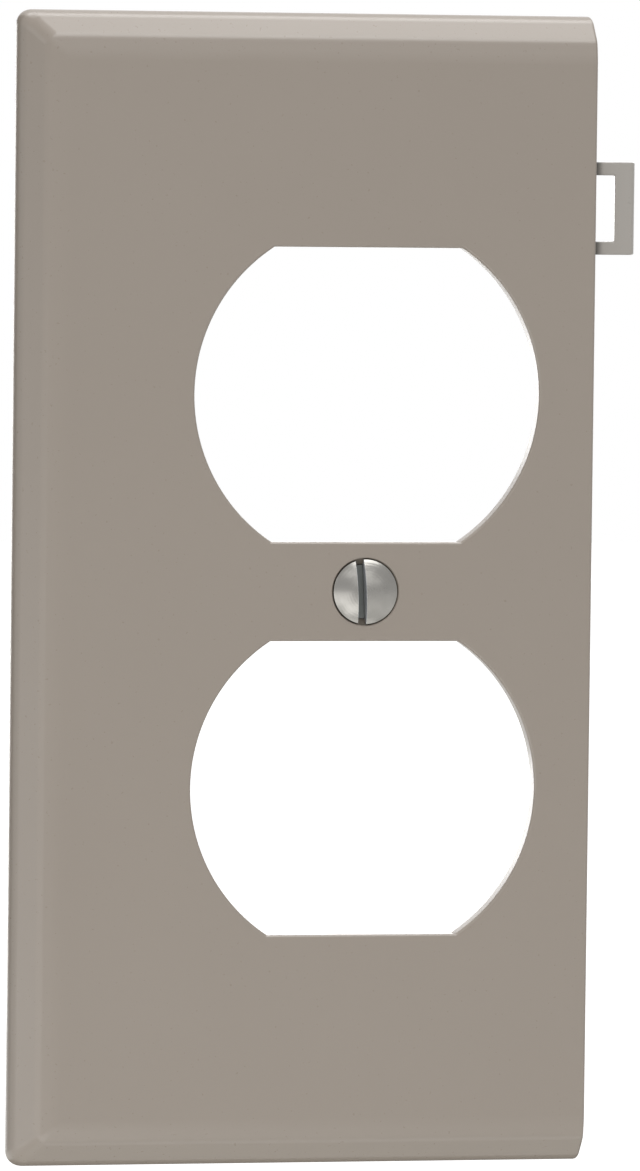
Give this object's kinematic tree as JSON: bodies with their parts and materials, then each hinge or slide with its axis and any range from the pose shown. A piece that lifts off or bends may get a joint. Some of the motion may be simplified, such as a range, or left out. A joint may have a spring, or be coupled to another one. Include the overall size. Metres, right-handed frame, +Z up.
{
  "type": "sectional duplex wall plate end section",
  "caption": "Bevelled end section of a gangable cover plate for a duplex outlet, with a joining loop, two flat-sided round openings and a slotted cover screw.",
  "frame": {"origin": "on the cover screw's axis, in the plane of the wall that the rear rim rests on", "axes": "+X towards the joining edge, +Y into the wall, +Z up"},
  "size_m": [0.0624, 0.0136, 0.1142],
  "materials": {
    "plate_plastic": "satin moulded grey nylon",
    "screw_metal": "grey plated steel"
  },
  "bodies": {
    "plate": {"end_section_plate": "plate_plastic"},
    "screw": {"cover_screw": "screw_metal"}
  },
  "joints": [
    {"name": "screw_turn", "type": "hinge", "parent": "plate", "child": "screw", "pos_m": [0, -0.0042, 0], "axis": [0, 1, 0], "continuous": true}
  ]
}
